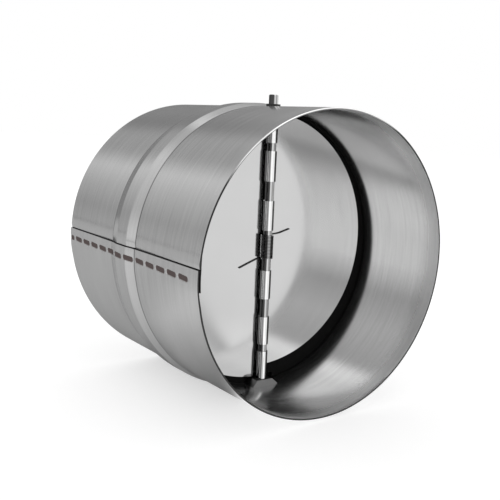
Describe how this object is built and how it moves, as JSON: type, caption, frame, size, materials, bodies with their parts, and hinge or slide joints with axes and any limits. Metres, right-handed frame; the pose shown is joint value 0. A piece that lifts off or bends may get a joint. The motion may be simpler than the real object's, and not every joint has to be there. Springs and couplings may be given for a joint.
{
  "type": "duct backdraft damper",
  "caption": "Round in-line duct damper: a rolled steel sleeve with spring-loaded half-disc leaves that swing on a central rod and shut against a rubber seat when the air stops.",
  "frame": {"origin": "where the hinge rod's axis crosses the duct axis, on the axis of the front spigot", "axes": "+Y along the duct axis, against the air, towards the inlet end; +Z along the hinge rod, towards its end that stands out; +X to the right, seen from the outlet"},
  "size_m": [0.1012, 0.0895, 0.1037],
  "materials": {
    "sleeve_steel": "brushed round the duct",
    "seal_rubber": "matt black",
    "rod_steel": "polished",
    "bush_plastic": "matt dark",
    "bearing_steel": "satin",
    "leaf_sheet": "bright rolled",
    "spring_steel": "dark spring wire"
  },
  "bodies": {
    "sleeve": {"housing": "sleeve_steel", "seal_ring": "seal_rubber", "hinge_rod": "rod_steel", "upper_bush": "bush_plastic", "lower_bearing": "bearing_steel", "torsion_spring": "spring_steel"},
    "left": {"left_leaf": "leaf_sheet"},
    "right": {"right_leaf": "leaf_sheet"}
  },
  "joints": [
    {"name": "left_hinge", "type": "hinge", "parent": "sleeve", "child": "left", "pos_m": [0, 0, 0], "axis": [0, 0, 1], "range_deg": [0, 85], "stiffness_Nm_per_rad": 0.003, "springref_deg": -34.38, "deforming": ["torsion_spring"]},
    {"name": "right_hinge", "type": "hinge", "parent": "sleeve", "child": "right", "pos_m": [0, 0, 0], "axis": [0, 0, -1], "range_deg": [0, 85], "stiffness_Nm_per_rad": 0.003, "springref_deg": -34.38, "deforming": ["torsion_spring"]}
  ]
}
